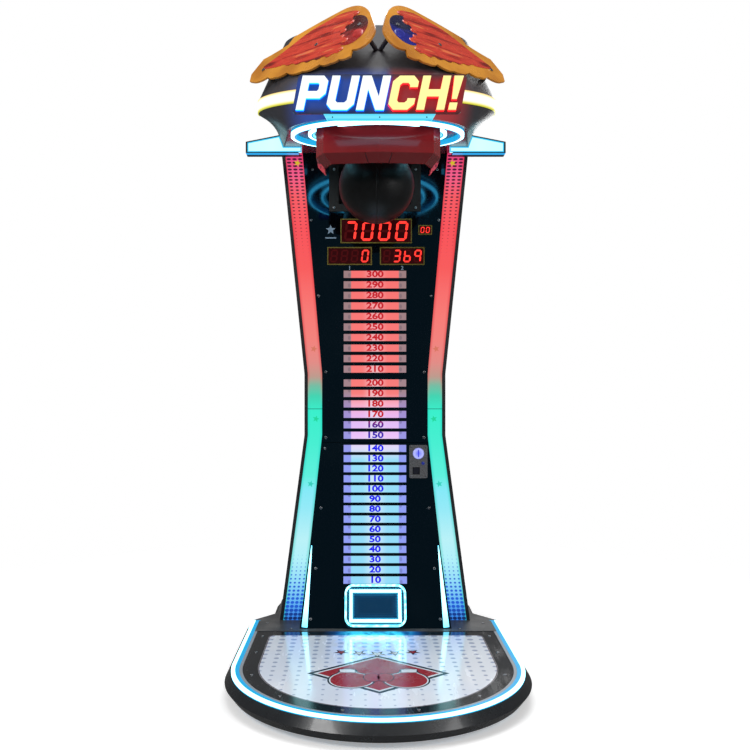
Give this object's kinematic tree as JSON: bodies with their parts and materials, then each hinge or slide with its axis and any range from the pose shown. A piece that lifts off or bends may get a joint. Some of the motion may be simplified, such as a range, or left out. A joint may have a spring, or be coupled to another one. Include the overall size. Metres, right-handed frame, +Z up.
{
  "type": "boxing punch machine",
  "caption": "Arcade boxing machine: a ball on a swing arm under a lit head, an hourglass cabinet with a score column and displays, and a round-fronted lit platform.",
  "frame": {"origin": "on the floor under the middle of the machine's bounding box", "axes": "+Z up; the player stands on the platform at -Y and faces +Y; +X is to the player's right"},
  "size_m": [0.94, 1.2898, 2.1191],
  "materials": {
    "steel_tube": "black powder coat",
    "foot_rubber": "matt rubber pad on a steel stud",
    "skirt_plastic": "semi-gloss moulded",
    "cyan_light": "opal diffuser, lit cyan",
    "deck_board": "plywood",
    "grey_trim": "satin",
    "floor_print": "printed polycarbonate",
    "deck_plate": "textured powder coat",
    "screw_steel": "stainless",
    "cabinet_black": "satin powder coat",
    "strip_light": "lit diffuser with printed fades",
    "panel_acrylic": "black acrylic, polished",
    "white_light": "opal diffuser, lit white",
    "meter_window": "lit windows",
    "display_red": "dark red filter",
    "bezel_gold": "olive gold",
    "tray_black": "black with a mirror back",
    "window_glass": "blue tinted",
    "matte_black": "matt black",
    "coin_steel": "stainless, linear brush",
    "coin_lens": "lit pale blue",
    "button_blue": "moulded",
    "cowl_grey": "satin moulded shell",
    "warm_light": "opal diffuser, lit warm white",
    "floor_red": "deep red",
    "visor_red": "deep red gloss",
    "letter_blue": "lit white with blue sides",
    "letter_red": "lit yellow with red sides",
    "board_print": "printed acrylic",
    "shaft_steel": "ground",
    "bearing_iron": "painted cast iron",
    "ball_leather": "black, stitched panels",
    "bumper_rubber": "matt",
    "lock_chrome": "plated",
    "switch_black": "moulded"
  },
  "bodies": {
    "machine": {"base_frame": "steel_tube", "levelling_feet": "foot_rubber", "base_skirt": "skirt_plastic", "platform_light": "cyan_light", "deck_board": "deck_board", "floor_trim": "grey_trim", "floor_panel": "floor_print", "rear_deck": "deck_plate", "floor_screws": "screw_steel", "side_panel_left": "cabinet_black", "side_panel_right": "cabinet_black", "light_strip_left": "strip_light", "light_strip_right": "strip_light", "panel_upper": "panel_acrylic", "panel_lower": "panel_acrylic", "wedge_lights": "white_light", "meter_bars": "meter_window", "display_windows": "display_red", "display_bezels": "bezel_gold", "window_neon": "white_light", "window_tray": "tray_black", "window_leds": "cyan_light", "window_glass": "window_glass", "ball_opening_frame": "matte_black", "panel_screws": "screw_steel", "back_panel": "cabinet_black", "cabinet_frame": "steel_tube", "coin_plate": "coin_steel", "coin_entry": "coin_lens", "return_cup": "tray_black", "cowl_lower": "cowl_grey", "cowl_upper": "cowl_grey", "cowl_band": "warm_light", "head_floor": "floor_red", "ring_lights": "cyan_light", "visor": "visor_red", "sign_backplate": "matte_black", "sign_letters_blue": "letter_blue", "sign_letters_red": "letter_red", "sign_light_panel": "cyan_light", "head_brackets": "screw_steel", "glove_board_left": "board_print", "glove_board_right": "board_print", "wing_housings": "matte_black", "wing_diffusers": "cyan_light", "pivot_shaft": "shaft_steel", "pillow_bearings": "bearing_iron", "stop_bumpers": "bumper_rubber", "door_hinges": "screw_steel", "power_inlet": "tray_black"},
    "ball_swing": {"arm_hub": "steel_tube", "ball_arm": "shaft_steel", "punch_ball": "ball_leather"},
    "coin_reject": {"reject_button": "button_blue"},
    "coin_flap": {"return_flap": "coin_steel"},
    "rear_door": {"service_door": "cabinet_black"},
    "lock": {"door_lock": "lock_chrome"},
    "rocker": {"rocker_switch": "switch_black"}
  },
  "joints": [
    {"name": "ball_swing_pivot", "type": "hinge", "parent": "machine", "child": "ball_swing", "pos_m": [0, 0.011, 1.887], "axis": [1, 0, 0], "range_deg": [-8, 88]},
    {"name": "reject_press", "type": "slide", "parent": "machine", "child": "coin_reject", "axis": [0, 1, 0], "range_m": [0, 0.004], "stiffness_N_per_m": 250},
    {"name": "return_flap_hinge", "type": "hinge", "parent": "machine", "child": "coin_flap", "pos_m": [0.152, 0.3195, 0.6405], "axis": [1, 0, 0], "range_deg": [0, 60]},
    {"name": "service_door_hinge", "type": "hinge", "parent": "machine", "child": "rear_door", "pos_m": [-0.174, 0.626, 0.4], "axis": [0, 0, 1], "range_deg": [0, 110]},
    {"name": "lock_turn", "type": "hinge", "parent": "rear_door", "child": "lock", "pos_m": [0.128, 0.62, 0.4], "axis": [0, 1, 0], "range_deg": [0, 90]},
    {"name": "rocker_tilt", "type": "hinge", "parent": "machine", "child": "rocker", "pos_m": [0.245, 0.616, 0.148], "axis": [1, 0, 0], "range_deg": [-20, 0]}
  ]
}
